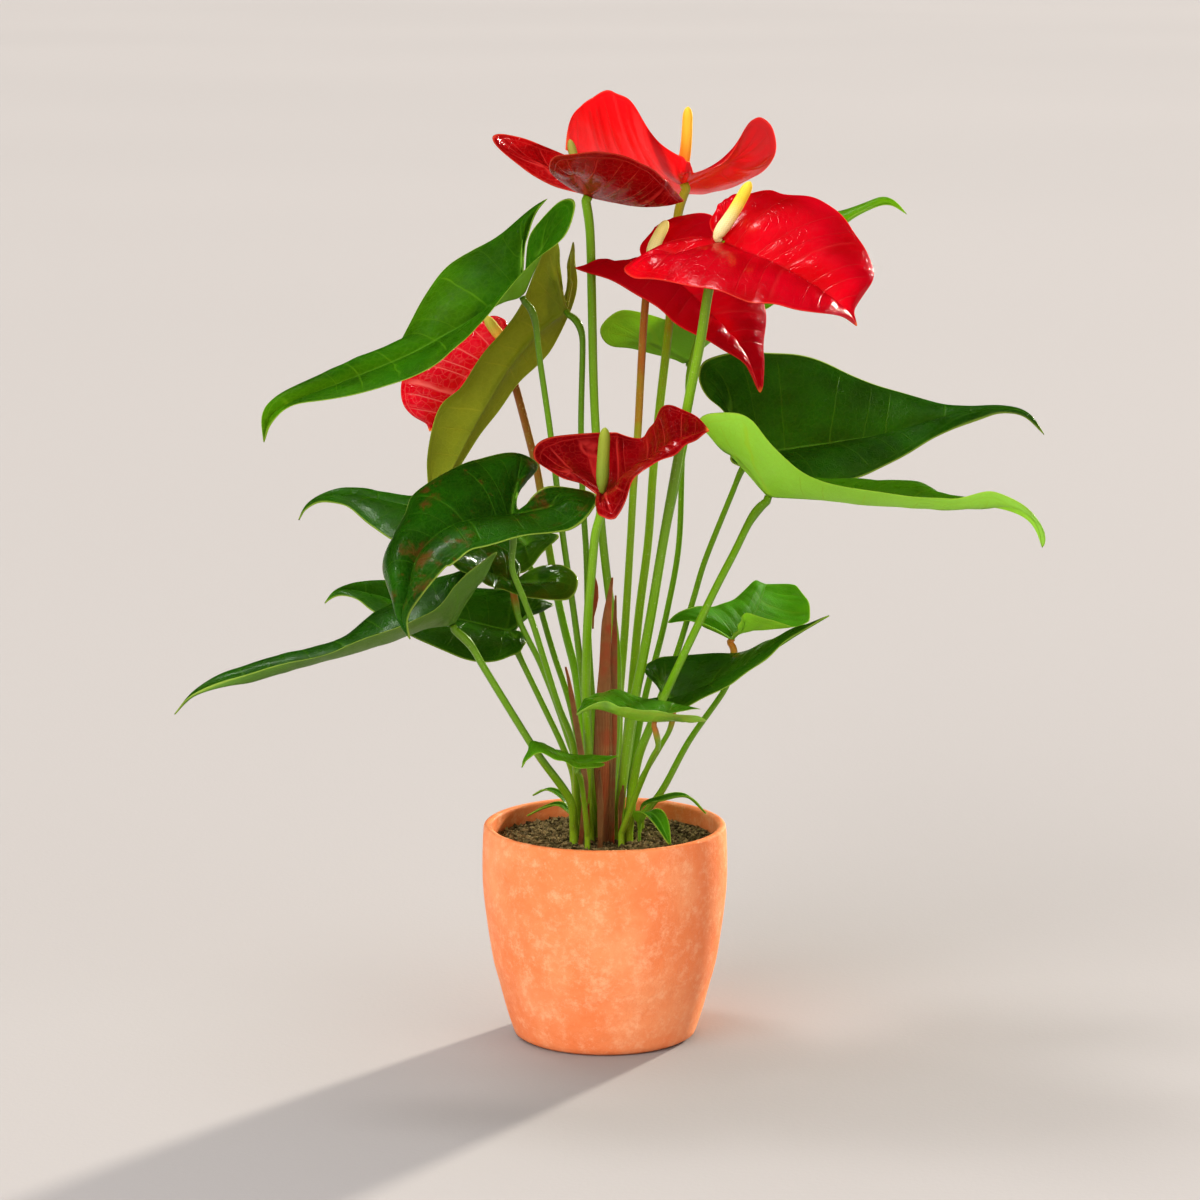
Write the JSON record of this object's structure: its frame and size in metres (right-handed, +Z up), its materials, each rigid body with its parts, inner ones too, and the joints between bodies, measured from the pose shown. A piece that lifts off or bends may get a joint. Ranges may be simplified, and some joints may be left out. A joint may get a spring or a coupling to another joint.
{
  "type": "potted anthurium plant",
  "caption": "Red-flowered anthurium growing in a round terracotta pot: heart-shaped glossy leaves and spathes on long stalks rising from a soil plug.",
  "frame": {"origin": "centre of the pot's flat underside", "axes": "+Z up along the pot's axis, -Y toward the viewer of the picture, +X to the right"},
  "size_m": [0.4746, 0.3043, 0.5182],
  "materials": {
    "terracotta": "matte",
    "soil": "matte",
    "leaf": "gloss",
    "petiole": "satin",
    "peduncle": "satin",
    "spathe": "gloss",
    "spadix": "matte",
    "sheath": "matte"
  },
  "bodies": {
    "root": {"pot": "terracotta", "soil": "soil", "leaf_1": "leaf", "leaf_2": "leaf", "leaf_3": "leaf", "leaf_4": "leaf", "leaf_5": "leaf", "leaf_6": "leaf", "leaf_7": "leaf", "leaf_8": "leaf", "leaf_9": "leaf", "leaf_10": "leaf", "leaf_11": "leaf", "leaf_12": "leaf", "leaf_13": "leaf", "leaf_14": "leaf", "leaf_15": "leaf", "petiole_1": "petiole", "petiole_2": "petiole", "petiole_3": "petiole", "petiole_4": "petiole", "petiole_5": "petiole", "petiole_6": "petiole", "petiole_7": "petiole", "petiole_8": "petiole", "petiole_9": "petiole", "petiole_10": "petiole", "petiole_11": "petiole", "petiole_12": "petiole", "petiole_13": "petiole", "petiole_14": "petiole", "petiole_15": "petiole", "spathe_1": "spathe", "spathe_2": "spathe", "spathe_3": "spathe", "spathe_4": "spathe", "spathe_5": "spathe", "spathe_6": "spathe", "spadix_1": "spadix", "spadix_2": "spadix", "spadix_3": "spadix", "spadix_4": "spadix", "spadix_5": "spadix", "spadix_6": "spadix", "peduncle_1": "peduncle", "peduncle_2": "peduncle", "peduncle_3": "peduncle", "peduncle_4": "peduncle", "peduncle_5": "peduncle", "peduncle_6": "peduncle", "low_leaf_1": "leaf", "low_leaf_2": "leaf", "low_leaf_3": "leaf", "low_leaf_4": "leaf", "sheath_1": "sheath", "sheath_2": "sheath", "sheath_3": "sheath"}
  },
  "joints": []
}
